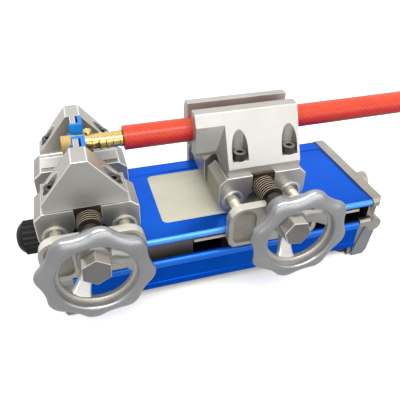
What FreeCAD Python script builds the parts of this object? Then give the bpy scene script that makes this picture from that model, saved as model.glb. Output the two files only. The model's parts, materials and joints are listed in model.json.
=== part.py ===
import FreeCAD, Part
import math
import os
import Sketcher
from FreeCAD import Vector, Placement, Rotation

os.makedirs("parts", exist_ok=True)
doc = FreeCAD.newDocument("hose_press")

# ---------------------------------------------------------------- dimensions (mm)
DIM = [
    ("deck_top", 66.0), ("deck_thick", 6.5), ("deck_recess", 0.8), ("deck_half", 57.2), ("deck_len", 274.4),
    ("recess_half", 40.2),
    ("base_top", 42.0), ("base_bottom", 12.0), ("base_len", 259.2), ("bead_half", 57.2), ("face_half", 56.0),
    ("wall_inner", 52.6), ("floor_thick", 4.0),
    ("rail_inner", 44.2), ("rail_wide", 6.6), ("rail_tall", 8.3), ("rail_len", 158.0), ("rail_start", -28.0),
    ("mount_start", -127.0), ("mount_len", 98.9), ("mount_half", 43.6),
    ("carriage_len", 72.0), ("arm_low", 47.8), ("arm_thick", 3.0), ("yoke_back", 58.0), ("yoke_thick", 8.0),
    ("yoke_half", 39.5), ("yoke_top", 89.3), ("yoke_low", 52.0), ("panel_depth", 2.4),
    ("fit_x", -109.8), ("hose_x", 36.1),
    ("rod_dx", 26.35), ("rod_level", 78.0), ("rod_rad", 4.76), ("rod_len", 125.8),
    ("screw_level", 89.3), ("thread_rad", 9.5), ("neck_rad", 7.05), ("saddle_rad", 7.12), ("nut_bore", 9.56),
    ("block_half", 39.3), ("block_top", 100.5), ("block_depth", 32.7), ("slot_half", 9.95), ("slot_depth", 16.0),
    ("bush_rad", 9.5), ("bush_bore", 4.82), ("bush_len", 33.3),
    ("fit_block_out", 45.4), ("hose_block_out", 37.7),
    ("hose_bolt_left", -19.2), ("hose_bolt_right", 24.65), ("fit_bolt_dx", 22.5), ("bolt_rad", 3.0), ("bolt_head_rad", 5.4),
    ("bolt_head_tall", 7.0),
    ("hose_bolt_y", 27.0), ("hose_bolt_seat", 112.0), ("fit_bolt_y", 38.0), ("fit_bolt_seat", 111.8),
    ("axis_level", 130.2), ("hose_rad", 9.9), ("hose_bore", 7.1), ("groove_rad", 10.2),
    ("jaw_inner", 6.2), ("hose_jaw_top", 150.3), ("jaw_main_len", 63.8), ("jaw_nose_len", 24.1),
    ("fit_jaw_top", 141.8), ("fit_jaw_half", 31.5), ("fit_jaw_out", 48.1), ("fit_jaw_in", 26.0),
    ("fit_foot_in", 19.0), ("fit_foot_top", 110.5), ("finger_tip", 13.0), ("finger_low", 118.0),
    ("grip_face", 7.65), ("insert_low", 118.0),
    ("wheel_rad", 39.6), ("wheel_valley", 36.0), ("wheel_bore", 26.5), ("rim_front", 110.0), ("rim_thick", 10.4),
    ("hub_rad", 12.5), ("hub_front", 93.0), ("hub_back", 71.0), ("hub_bore", 6.4), ("spoke_wide", 11.5),
    ("hex_flat", 19.05), ("hex_long", 10.8),
    ("drive_level", 46.2), ("drive_rad", 9.5), ("drive_half", 127.3), ("drive_hex", 12.7),
    ("cap_inner", 129.7), ("cap_outer", 147.8), ("cap_bead_end", 152.6), ("boss_rad", 9.6), ("boss_end", 168.0),
    ("dome_rad", 15.0), ("dome_len", 24.0),
    ("foot_rad", 9.0), ("foot_x", 126.0), ("foot_y", 40.5), ("foot_tall", 12.0),
    ("label_start", -51.0), ("label_len", 100.0), ("label_half", 36.4), ("label_thick", 0.3),
    ("shift_x", 2.0), ("shift_y", 19.25),
    ("fitting_rad", 7.35), ("collar_rad", 8.3), ("barb_rad", 6.8),
]
sheet = doc.addObject("Spreadsheet::Sheet", "dims")
for i, (name, value) in enumerate(DIM):
    sheet.set("A%d" % (i + 1), name)
    sheet.set("B%d" % (i + 1), "%.4f" % value)
    sheet.setAlias("B%d" % (i + 1), name)
doc.recompute()
D = dict(DIM)

# ---------------------------------------------------------------- helpers
NODES = []
FRONT, REAR = -1, 1
count = [0]


def uid(stem):
    count[0] += 1
    return "%s_%d" % (stem, count[0])


def body(label, x=None):
    b = doc.addObject("PartDesign::Body", label)
    b.Label = label
    if x:
        b.setExpression("Placement.Base.x", "dims." + x)
    NODES.append(b)
    return b


def loop(pts):
    """closed outline from (u, v) or (u, v, corner radius) points"""
    n = len(pts)
    info = []
    for i in range(n):
        p = Vector(pts[i][0], pts[i][1], 0)
        r = pts[i][2] if len(pts[i]) > 2 else 0
        a = Vector(pts[i - 1][0], pts[i - 1][1], 0)
        c = Vector(pts[(i + 1) % n][0], pts[(i + 1) % n][1], 0)
        if r <= 0:
            info.append((p, p, None))
            continue
        u = (a - p).normalize()
        w = (c - p).normalize()
        half = u.getAngle(w) / 2
        t = r / math.tan(half)
        centre = p + (u + w).normalize() * (r / math.sin(half))
        p1, p2 = p + u * t, p + w * t
        mid = centre + (p - centre).normalize() * r
        info.append((p1, p2, mid))
    out = []
    for i in range(n):
        p1, p2, mid = info[i]
        if mid is not None:
            out.append(Part.Arc(p1, mid, p2))
        q = info[(i + 1) % n][0]
        if (q - p2).Length > 1e-6:
            out.append(Part.LineSegment(p2, q))
    return out


def circle(u, v, r):
    return [Part.Circle(Vector(u, v, 0), Vector(0, 0, 1), r)]


def sketch(b, role, loops, off=0.0, expr=None, spin=0.0):
    s = b.newObject("Sketcher::SketchObject", uid("sk"))
    plane = [f for f in b.Origin.OriginFeatures if f.Role == role][0]
    s.AttachmentSupport = [(plane, "")]
    s.MapMode = "FlatFace"
    s.AttachmentOffset = Placement(Vector(0, 0, off), Rotation(Vector(0, 0, 1), spin))
    if expr:
        s.setExpression("AttachmentOffset.Base.z", expr)
    for lp in loops:
        for g in lp:
            s.addGeometry(g, False)
    return s


def pad(b, sk, length, rev=False):
    f = b.newObject("PartDesign::Pad", uid("pad"))
    f.Profile = sk
    f.Reversed = rev
    f.setExpression("Length", length)
    return f


def pocket(b, sk, length, rev=False):
    f = b.newObject("PartDesign::Pocket", uid("cut"))
    f.Profile = sk
    f.Reversed = rev
    f.setExpression("Length", length)
    return f


# pads between two planes: X from a to b, Y from a to b, Z from a to b (lengths as expressions)
def pad_x(b, loops, a, length, expr=None):
    return pad(b, sketch(b, "YZ_Plane", loops, a, expr), length)


def pad_y(b, loops, y0, length, side):
    """side -1 grows towards -Y from y0, +1 towards +Y; u = X, v = Z"""
    return pad(b, sketch(b, "XZ_Plane", loops, -y0), length, rev=(side > 0))


def cut_y(b, loops, y0, length, side):
    return pocket(b, sketch(b, "XZ_Plane", loops, -y0), length, rev=(side < 0))


def cut_x(b, loops, x0, length, side):
    return pocket(b, sketch(b, "YZ_Plane", loops, x0), length, rev=(side > 0))


def pad_z(b, loops, z0, length):
    return pad(b, sketch(b, "XY_Plane", loops, z0), length)


def cut_z(b, loops, z0, length, side):
    return pocket(b, sketch(b, "XY_Plane", loops, z0), length, rev=(side > 0))


AX = {"x": Rotation(Vector(0, 0, 1), Vector(1, 0, 0)), "y": Rotation(Vector(0, 0, 1), Vector(0, 1, 0)),
      "-x": Rotation(Vector(0, 0, 1), Vector(-1, 0, 0)), "-y": Rotation(Vector(0, 0, 1), Vector(0, -1, 0)),
      "z": Rotation(), "-z": Rotation(Vector(1, 0, 0), 180)}


def cyl(r, h, pos, axis):
    c = doc.addObject("Part::Cylinder", uid("cyl"))
    c.Placement = Placement(Vector(*pos), AX[axis])
    for prop, val in (("Radius", r), ("Height", h)):
        if isinstance(val, str):
            c.setExpression(prop, val)
        else:
            setattr(c, prop, val)
    return c


def cone(r1, r2, h, pos, axis):
    c = doc.addObject("Part::Cone", uid("cone"))
    c.Radius1, c.Radius2, c.Height = r1, r2, h
    c.Placement = Placement(Vector(*pos), AX[axis])
    return c


def box(pos, size, expr=None):
    c = doc.addObject("Part::Box", uid("box"))
    c.Length, c.Width, c.Height = size
    c.Placement = Placement(Vector(*pos), Rotation())
    for k, v in (expr or {}).items():
        c.setExpression(k, v)
    return c


def hexagon(af, h, pos, axis, spin=0.0):
    c = doc.addObject("Part::Prism", uid("hex"))
    c.Polygon = 6
    if isinstance(af, str):
        c.setExpression("Circumradius", "(%s) / sqrt(3)" % af)
    else:
        c.Circumradius = af / math.sqrt(3)
    if isinstance(h, str):
        c.setExpression("Height", h)
    else:
        c.Height = h
    c.Placement = Placement(Vector(*pos), AX[axis].multiply(Rotation(Vector(0, 0, 1), spin)))
    return c


def fuse(parts, label=None):
    f = doc.addObject("Part::MultiFuse", label or uid("fuse"))
    f.Shapes = parts
    if label:
        f.Label = label
        NODES.append(f)
    return f


def cut(base, tool, label=None):
    c = doc.addObject("Part::Cut", label or uid("cutp"))
    c.Base, c.Tool = base, tool
    if label:
        c.Label = label
        NODES.append(c)
    return c


def group(parts, label, x=None):
    g = doc.addObject("Part::Compound", label)
    g.Links = parts
    g.Label = label
    if x:
        g.setExpression("Placement.Base.x", "dims." + x)
    NODES.append(g)
    return g


def node(obj, label, x=None):
    obj.Label = label
    if x:
        obj.setExpression("Placement.Base.x", "dims." + x)
    NODES.append(obj)
    return obj


BACK = {"x": "-x", "-x": "x", "y": "-y", "-y": "y", "z": "-z", "-z": "z"}


def cap_screw(seat, axis, head_r, head_h, shank_r, shank_l, key):
    """socket-head screw: seat is the point under the head, axis points from the shank to the head"""
    hx = AX[axis].multVec(Vector(0, 0, 1))
    head = cyl(head_r, head_h, seat, axis)
    shank = cyl(shank_r, shank_l, seat, BACK[axis])
    hh = head_h if not isinstance(head_h, str) else D[head_h.replace("dims.", "")]
    top = Vector(*seat) + hx * hh
    sock = hexagon(key, hh * 0.5 + 0.1, (top - hx * (hh * 0.5))[:], axis)
    return cut(fuse([head, shank]), sock)


# ---------------------------------------------------------------- frame
ZT = D["deck_top"]
ZB = ZT - D["deck_thick"]
HX = D["base_len"] / 2


def mirror_y(half):
    """outline symmetric about the v axis from its right-hand points, bottom to top"""
    return half + [(-p[0],) + tuple(p[1:]) for p in reversed(half)]


base = body("base_channel")
prof = mirror_y([(56.7, 12.0, 0.8), (56.7, 18.0, 0.3), (D["face_half"], 18.7), (D["face_half"], 34.6, 0.6),
                 (D["bead_half"], 35.8, 0.8), (D["bead_half"], 42.0, 2.9), (D["wall_inner"], 42.0, 0.5),
                 (D["wall_inner"], 24.0), (46.6, 24.0), (46.6, 16.0)])
pad_x(base, [loop(prof)], -HX, "dims.base_len", "-dims.base_len / 2")
for s in (-1, 1):
    cut_x(base, [circle(49.6 * s, 20.0, 2.0) for s in (-1, 1)], s * HX, "12", -s)
cut_z(base, [circle(x * D["foot_x"], y * D["foot_y"], 2.0) for x in (-1, 1) for y in (-1, 1)], 11.0, "6", 1)

deck = body("deck_plate")
prof = mirror_y([(D["deck_half"], ZB, 3.1), (D["deck_half"], ZT, 3.1), (D["recess_half"] + 0.8, ZT),
                 (D["recess_half"], ZT - D["deck_recess"])])
pad_x(deck, [loop(prof)], -D["deck_len"] / 2, "dims.deck_len", "-dims.deck_len / 2")
DSX = [(-125.0, -22.0), (-125.0, 22.0), (-88.0, -22.0), (-88.0, 22.0)]
RSX = [(x, y) for x in (-15.0, 51.0, 117.0) for y in (-47.5, 47.5)]
cut_z(deck, [circle(x, y, 2.95) for x, y in DSX], ZB - 1, "10", 1)
cut_z(deck, [circle(x, y, 1.5) for x, y in RSX], ZB - 0.5, "4.5", 1)
sink = cut_z(deck, [circle(x, y, 5.7) for x, y in DSX], ZT - D["deck_recess"], "2.77", -1)
sink.TaperAngle = -45.0
for s in (-1, 1):
    cut_x(deck, [circle(30.0, 62.0, 1.5), circle(-30.0, 62.0, 1.5)], s * D["deck_len"] / 2, "16", -s)

rails = []
for s in (-1, 1):
    y0 = D["rail_inner"] if s > 0 else -D["rail_inner"] - D["rail_wide"]
    bar = box((D["rail_start"], y0, ZB - D["rail_tall"]), (D["rail_len"], D["rail_wide"], D["rail_tall"]),
              {"Length": "dims.rail_len", "Width": "dims.rail_wide", "Height": "dims.rail_tall"})
    holes = []
    for x, y in RSX:
        if y * s > 0:
            holes.append(cyl(3.0, 3.2, (x, y, ZB - D["rail_tall"]), "z"))
            holes.append(cyl(1.5, 8.3, (x, y, ZB - D["rail_tall"]), "z"))
    yo = D["rail_inner"] + D["rail_wide"] - 1.4
    holes.append(box((D["rail_start"] - 1, yo if s > 0 else -yo - 2.4, ZB - D["rail_tall"] + 2.8),
                     (D["rail_len"] + 2, 2.4, D["rail_tall"])))
    rails.append(cut(bar, fuse(holes)))
group(rails, "guide_rails")
group([cap_screw((x, y, 54.4), "-z", 2.75, 2.9, 1.5, 9.0, 2.5) for x, y in RSX], "rail_screws")

mount = body("mount_block")
MH = D["mount_half"]
pad_x(mount, [loop([(-MH, 26.0, 1), (MH, 26.0, 1), (MH, ZB), (-MH, ZB)])], D["mount_start"], "dims.mount_len",
      "dims.mount_start")
# cheeks seen through the gap, standing on the base's inner ribs; the yoke screws' heads stay clear of them
for s in (-1, 1):
    a, c = (MH - 1, 47.2) if s > 0 else (-47.2, -MH + 1)
    pad_x(mount, [loop([(a, 24.0), (c, 24.0), (c, 44.7), (a, 44.7)])], -72.5, "44.4")
    pad_x(mount, [loop([(a, 50.8), (c, 50.8), (c, ZB), (a, ZB)])], D["mount_start"], "dims.mount_len",
          "dims.mount_start")
MS = D["mount_start"]
pad_z(mount, [loop([(MS, -D["yoke_back"]), (-73.8, -D["yoke_back"]), (-73.8, D["yoke_back"]), (MS, D["yoke_back"])])],
      D["arm_low"], "dims.arm_thick")
pad_z(mount, [loop([(-74.0, -47.2), (-28.1, -47.2), (-28.1, 47.2), (-74.0, 47.2)])], 44.6, "6.4")
cut_x(mount, [circle(0, D["drive_level"], 10.3)], D["mount_start"] - 1, "dims.mount_len + 2", 1)
cut_z(mount, [circle(x, y, 2.95) for x, y in DSX], 47.0, "15", 1)
cut_z(mount, [circle(D["fit_x"] + x, y, 2.5) for x in (-14.0, 22.0) for y in (-48.2, 48.2)], 43.0, "9", 1)

group([cut(fuse([cone(2.93, 5.6, 2.7, (x, y, 62.5), "z"), cyl(2.93, 15.5, (x, y, 47.0), "z")]),
           hexagon(3.2, 2.0, (x, y, 63.4), "z")) for x, y in DSX], "deck_screws")

for nm, m in (("end_cap_left", -1), ("end_cap_right", 1)):
    cap = body(nm)
    CI, CO, CE = D["cap_inner"], D["cap_outer"], D["cap_bead_end"]

    def slab(outline, x0, x1):
        a = x0 if m > 0 else -x1
        return pad_x(cap, [loop(outline)], a, "%.3f" % (x1 - x0))

    slab(mirror_y([(55.6, 1.5, 5), (55.6, 37.0)]), CI, CO)
    # outer part of the leg stands 1.3 mm proud, its inner boundary leans
    for s in (-1, 1):
        pad_y(cap, [loop([(m * 137.2, 36.2), (m * CO, 36.2), (m * CO, 1.5), (m * 129.9, 1.5), (m * 129.9, 9.0)])], s * 54.0,
              "2.9", s)
    slab(mirror_y([(57.2, 35.6, 2), (57.2, 44.0, 2.9)]), CI, 146.0)
    # round bead across the outer end
    pad_y(cap, [circle(m * (CE - 7.2), 37.5, 7.2)], -57.2, "114.4", 1)
    slab(mirror_y([(51.0, 40.0), (51.0, 58.9)]), 139.5, CO)
    # the left cap stays below the slide blocks that pass over it
    lip = 67.0 if m > 0 else 65.8
    slab(mirror_y([(57.8, 57.6, 4.0), (57.8, lip, 4.0)]), 137.7, CO)
    slab(mirror_y([(51.5, 56.6), (51.5, 59.0)]), 137.7, CO)
    # the bar's outer ends are rounded in plan
    for s in (-1, 1):
        end = [(CO + 1, 51.8), (CO, 51.8), (CO - 0.5, 54.0), (CO - 2.0, 56.2), (CO - 4.2, 57.4), (CO - 7.0, 57.9),
               (CO - 7.0, 59.0), (CO + 1, 59.0)]
        cut_z(cap, [loop([(m * x, s * y) for x, y in end])], 56.0, "14", 1)
    for s in (-1, 1):
        a, c = (50.5, 54.5) if s > 0 else (-54.5, -50.5)
        slab([(a, 1.5), (c, 1.5), (c, 11.7), (a, 11.7)], 125.4, 131.0)
    if m > 0:
        slab_x = (143.0, D["boss_end"])
        pad_x(cap, [circle(0, D["drive_level"], D["boss_rad"])], slab_x[0], "dims.boss_end - 143")
        pad_x(cap, [circle(0, D["drive_level"], 13.0)], 146.0, "3.5")
        cut_x(cap, [circle(0, D["drive_level"], 8.5)], CI - 1, "13.3", 1)
        cut_x(cap, [circle(0, D["drive_level"], 6.4)], CI - 1, "31", 1)
    else:
        cut_x(cap, [circle(0, D["drive_level"], 9.5)], -CI + 1, "17.1", -1)
        cut_x(cap, [circle(0, D["drive_level"], 8.2)], -CI + 1, "24", -1)
        cut_x(cap, [circle(0, D["drive_level"], 16.4)], -148.0, "6", -1)
    # hollow underside around the feet
    a, c = (CI - 1, 138.0) if m > 0 else (-138.0, -CI + 1)
    cut_z(cap, [loop([(a, -50.0), (c, -50.0), (c, 50.0), (a, 50.0)])], 1.0, "11.2", 1)
    # two wells behind the post, open to the inside of the base
    a, c = (CI - 1, 139.0) if m > 0 else (-139.0, -CI + 1)
    for s in (-1, 1):
        y0, y1 = sorted((s * 17.0, s * 52.0))
        cut_z(cap, [loop([(a, y0), (c, y0), (c, y1), (a, y1)])], 24.5, "20", 1)
    # outer face leans in towards the bottom, more so at the left
    if m > 0:
        lean = [(149.0, 30.6), (147.6, 30.6), (144.6, 6.0), (141.5, 1.0), (149.0, 1.0)]
    else:
        lean = [(-154.0, 30.6), (-147.6, 30.6), (-144.0, 14.0), (-139.4, 1.0), (-154.0, 1.0)]
    cut_y(cap, [loop(lean)], -58.0, "116", 1)
    cut_x(cap, [circle(49.6, 20.0, 3.8), circle(-49.6, 20.0, 3.8)], m * CO, "6.2", -m)
    cut_x(cap, [circle(49.6, 20.0, 2.05), circle(-49.6, 20.0, 2.05)], m * CO, "20", -m)
    cut_x(cap, [circle(30.0, 62.0, 2.95), circle(-30.0, 62.0, 2.95)], m * CO, "3", -m)
    cut_x(cap, [circle(30.0, 62.0, 1.6), circle(-30.0, 62.0, 1.6)], m * (CO + 0.2), "12", -m)
group([cap_screw((m * 141.6, 49.6 * s, 20.0), "x" if m > 0 else "-x", 3.5, 4.0, 2.0, 23.0, 3.0)
       for m in (-1, 1) for s in (-1, 1)] +
      [cap_screw((m * 144.8, 30.0 * s, 62.0), "x" if m > 0 else "-x", 2.75, 3.0, 1.5, 22.0, 2.5)
       for m in (-1, 1) for s in (-1, 1)], "end_cap_screws")

feet, fscrews = [], []
for x in (-1, 1):
    for y in (-1, 1):
        px, py = x * D["foot_x"], y * D["foot_y"]
        f = cyl("dims.foot_rad", "dims.foot_tall", (px, py, 0), "z")
        feet.append(cut(f, fuse([cyl(4.2, 9.0, (px, py, 0), "z"), cyl(2.05, 12.0, (px, py, 0), "z")])))
        fscrews.append(cap_screw((px, py, 9.0), "-z", 3.5, 4.0, 2.0, 7.5, 3.0))
group(feet, "rubber_feet")
group(fscrews, "foot_screws")

lab = body("label_plate")
LS, LH = D["label_start"], D["label_half"]
pad_z(lab, [loop([(LS, -LH, 5), (LS + D["label_len"], -LH, 5), (LS + D["label_len"], LH, 5), (LS, LH, 5)])],
      ZT - D["deck_recess"], "dims.label_thick")

zd = D["drive_level"]
group([cut(fuse([cyl(9.5, 16.0, (-129.7, 0, zd), "-x"), cyl(12.5, 2.0, (-129.7, 0, zd), "x")]),
           cyl(7.56, 22.0, (-149.0, 0, zd), "x")),
       cut(fuse([cyl(8.5, 12.0, (129.7, 0, zd), "x"), cyl(11.0, 2.0, (129.7, 0, zd), "-x")]),
           cyl(6.06, 22.0, (125.0, 0, zd), "x"))], "drive_bushings")

# ---------------------------------------------------------------- drive screw
ds = fuse([cyl("dims.drive_rad", "2 * dims.drive_half", (-D["drive_half"], 0, zd), "x"),
           cyl(7.5, 20.9, (-148.2, 0, zd), "x"), hexagon("dims.drive_hex", 17.0, (-165.0, 0, zd), "x"),
           cyl(6.0, 30.7, (127.3, 0, zd), "x")], "drive_screw")

dome = body("drive_cap")
# ribbed side, rounded end, hexagon bore
ribs = []
for k in range(24):
    for f, r in ((0.0, 15.0), (0.5, 14.0)):
        a = math.radians((k + f) * 15.0)
        ribs.append((r * math.cos(a), zd + r * math.sin(a)))
pad_x(dome, [loop(ribs)], -165.5, "17.2")
rv = dome.newObject("PartDesign::Revolution", "dome_end")
rv.Profile = sketch(dome, "XZ_Plane", [[Part.LineSegment(Vector(-165.5, zd, 0), Vector(-165.5, zd + 13.9, 0)),
                                        Part.Arc(Vector(-165.5, zd + 13.9, 0), Vector(-169.6, zd + 10.2, 0),
                                                 Vector(-172.0, zd + 4.0, 0)),
                                        Part.LineSegment(Vector(-172.0, zd + 4.0, 0), Vector(-172.0, zd, 0)),
                                        Part.LineSegment(Vector(-172.0, zd, 0), Vector(-165.5, zd, 0))]])
axis_sk = sketch(dome, "XZ_Plane", [[Part.LineSegment(Vector(-180, zd, 0), Vector(-140, zd, 0))]])
rv.ReferenceAxis = (axis_sk, ["Edge1"])
rv.Angle = 360
hr = (D["drive_hex"] + 0.12) / math.sqrt(3)
hexp = [(hr * math.cos(math.radians(60 * k + 30)), zd + hr * math.sin(math.radians(60 * k + 30))) for k in range(6)]
cut_x(dome, [loop(hexp)], -165.2, "18", 1)

# ---------------------------------------------------------------- carriage
car = body("carriage_block", "hose_x")
CL = D["carriage_len"]
pad(car, sketch(car, "YZ_Plane", [loop([(-43.6, 31.0, 1.5), (43.6, 31.0, 1.5), (43.6, 59.2), (-43.6, 59.2)])],
                -CL / 2, "-dims.carriage_len / 2"), "dims.carriage_len")
pad_z(car, [loop([(-CL / 2, -D["yoke_back"]), (CL / 2, -D["yoke_back"]), (CL / 2, D["yoke_back"]),
                  (-CL / 2, D["yoke_back"])])], D["arm_low"], "dims.arm_thick")
cut_x(car, [circle(0, zd, 10.4)], -CL / 2 - 1, "dims.carriage_len + 2", 1)
cut_x(car, [circle(0, zd, 13.0)], CL / 2, "44", -1)
cut_z(car, [circle(x, y, 2.5) for x in (-22.0, 22.0) for y in (-48.2, 48.2)], 43.0, "9", 1)
node(cut(cyl(13.0, 44.0, (-8.0, 0, zd), "x"), cyl("dims.nut_bore", 46.0, (-9.0, 0, zd), "x")), "drive_nut", "hose_x")


def corner_path(pts):
    """straight runs joined by tangent arcs, each arc as large as its runs allow"""
    P = [Vector(*p) for p in pts]
    edges, start = [], P[0]
    for i in range(1, len(P) - 1):
        u, w = (P[i - 1] - P[i]), (P[i + 1] - P[i])
        lu, lw = u.Length, w.Length
        u.normalize()
        w.normalize()
        turn = math.pi - u.getAngle(w)
        t = 0.45 * min(lu, lw)
        r = t / math.tan(turn / 2)
        print("hose route radius %.0f mm, turn %.2f deg, runs %.0f %.0f" % (r, math.degrees(turn), lu, lw))
        p1, p2 = P[i] + u * t, P[i] + w * t
        centre = P[i] + (u + w).normalize() * (r / math.cos(turn / 2))
        mid = centre + (P[i] - centre).normalize() * r
        edges.append(Part.LineSegment(start, p1).toShape())
        edges.append(Part.Arc(p1, mid, p2).toShape())
        start = p2
    edges.append(Part.LineSegment(start, P[-1]).toShape())
    return Part.Wire(edges)


# in the shared frame, whose origin is under the middle of the tool without its hose
HOSE_ROUTE = [(-71.2, 19.25, 130.2), (112.0, 19.25, 130.2), (204.0, 19.85, 130.9)]
path = corner_path(HOSE_ROUTE)
pobj = doc.addObject("Part::Feature", "hose_route")
pobj.Shape = path
tubes = []
for r in ("hose_rad", "hose_bore"):
    ring = doc.addObject("Part::Circle", uid("ring"))
    ring.setExpression("Radius", "dims." + r)
    ring.Placement = Placement(Vector(*HOSE_ROUTE[0]), AX["x"])
    sw = doc.addObject("Part::Sweep", uid("sweep"))
    sw.Sections = [ring]
    sw.Spine = (pobj, ["Edge%d" % (k + 1) for k in range(len(path.Edges))])
    sw.Solid = True
    sw.Transition = "Right corner"
    tubes.append(sw)
hose_obj = cut(tubes[0], tubes[1], "sample_hose")

# ---------------------------------------------------------------- the two vises
YB = D["yoke_back"]
RX, RZ, SZ = D["rod_dx"], D["rod_level"], D["screw_level"]


def yoke(label, s, xname, holes, tongue):
    b = body(label, xname)
    H = D["yoke_half"]
    T, L = D["yoke_top"], D["yoke_low"]
    pad_y(b, [loop([(-H, L, 7), (H, L, 7), (H, T, 13), (-H, T, 13)])], s * YB, "dims.yoke_thick", s)
    # lower back lip and tongue that laps under the carriage arm
    q = [(s * YB, 56.0), (s * YB, 44.7), (s * (YB + 7.9), 52.6), (s * (YB + 7.9), 56.0)]
    pad_x(b, [loop(q)], -33.0, "66")
    q = [(s * 44.4, 44.7), (s * (YB + 0.4), 44.7), (s * (YB + 0.4), D["arm_low"]), (s * 44.4, D["arm_low"])]
    pad_x(b, [loop(q)], tongue, "%.2f" % (33.0 - tongue))
    yf = s * (YB + D["yoke_thick"])
    for k in (-1, 1):
        pts = [(k * 16.0, 55.2, 5), (k * 35.6, 55.2, 6), (k * 35.6, 87.0, 9.5), (k * 16.0, 87.0, 9.5)]
        cut_y(b, [loop(pts)], yf, "dims.panel_depth", -s)
    cut_y(b, [circle(0, SZ, D["saddle_rad"])], s * (YB - 1), "dims.yoke_thick + 2", s)
    cut_y(b, [circle(-RX, RZ, D["rod_rad"]), circle(RX, RZ, D["rod_rad"])], s * (YB - 1), "dims.rod_len / 2 - 57", s)
    cut_z(b, [circle(x, s * 48.2, 2.5) for x in holes], 43.0, "5.2", 1)
    return b


def slide(label, s, xname, out, bolts, bolt_y):
    b = body(label, xname)
    yo = s * out
    inner = s * (out - D["block_depth"])
    web_out = s * (out - D["slot_depth"])
    T = D["block_top"]
    pad_y(b, [loop([(-20, 70.0), (20, 70.0), (20, T), (-20, T)])], inner, "dims.block_depth - dims.slot_depth", s)
    for k in (-1, 1):
        pts = [(k * D["slot_half"], T), (k * 32.7, T), (k * 39.3, 95.1), (k * 39.3, 66.4, 12.3), (k * 13.6, 66.4, 12.3),
               (k * 13.6, 79.2), (k * D["slot_half"], 83.4)]
        pad_y(b, [loop(pts)], inner, "dims.block_depth", s)
    cut_y(b, [loop([(-12.2, 76.0), (12.2, 76.0), (12.2, T + 1), (-12.2, T + 1)])], web_out, "14.2", -s)
    cut_y(b, [circle(0, SZ, 10.1)], s * out + s, "dims.block_depth + 2", -s)
    cut_y(b, [circle(-RX, RZ, D["bush_rad"]), circle(RX, RZ, D["bush_rad"])], s * out + s, "dims.block_depth + 2", -s)
    cut_z(b, [circle(x, s * bolt_y, D["bolt_rad"]) for x in bolts], T - 11.5, "12.5", 1)
    return b


def nut(label, s, xname, out):
    y0 = out - D["slot_depth"] - 14.2
    lo = y0 if s > 0 else -(y0 + 14.2)
    b = box((-12.2, lo, 76.0), (24.4, 14.2, 24.4))
    b.setExpression("Height", "dims.block_top - 76.1")
    # the nose runs forward over the thread, up to the front of the slot
    nl = D["slot_depth"] - 1.2
    nose = box((-9.7, y0 + 13.2 if s > 0 else -(y0 + 14.2 + nl), 94.0), (19.4, nl + 1.0, 6.4))
    return node(cut(fuse([b, nose]), cyl("dims.nut_bore", 32.0, (0, (y0 - 1) if s > 0 else -(y0 + 31), SZ), "y")), label,
                xname)


def bushings(label, s, xname, out):
    axis = "-y" if s > 0 else "y"
    one = []
    for k in (-1, 1):
        p = (k * RX, s * (out + 0.6), RZ)
        body_c = cyl("dims.bush_rad", "dims.bush_len", p, axis)
        p0 = (k * RX, s * (out + 1.6), RZ)
        one.append(cut(body_c, fuse([cyl("dims.bush_bore", 40.0, p0, axis), cyl(7.7, 5.0, p0, axis)])))
    return group(one, label, xname)


def jaw_screws(label, s, xname, dx, y, seat):
    L = seat - D["block_top"] + 11.3
    return group([cap_screw((x, s * y, seat), "z", "dims.bolt_head_rad", "dims.bolt_head_tall", "dims.bolt_rad", L,
                            5.0) for x in dx], label, xname)


def vise_screw(label, xname):
    y = [(-101.0, 6.0), (-93.0, 6.36), (-71.0, 7.0), (-66.2, 7.05), (-57.7, 9.5), (57.7, 7.05), (66.2, 7.0), (71.5, 0)]
    parts = []
    for (a, r), (c, _) in zip(y[:-1], y[1:]):
        rr = {9.5: "dims.thread_rad", 7.05: "dims.neck_rad"}.get(r, r)
        parts.append(cyl(rr, c - a, (0, a, SZ), "y"))
    return node(fuse(parts), label, xname)


def collars(label, xname):
    return group([cut(cyl(9.9, 2.0, (0, -68.2, SZ), "y"), cyl(7.0, 4.0, (0, -69.2, SZ), "y")),
                  cut(cyl(9.9, 2.0, (0, 66.3, SZ), "y"), cyl(7.0, 4.0, (0, 65.3, SZ), "y"))], label, xname)


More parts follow.
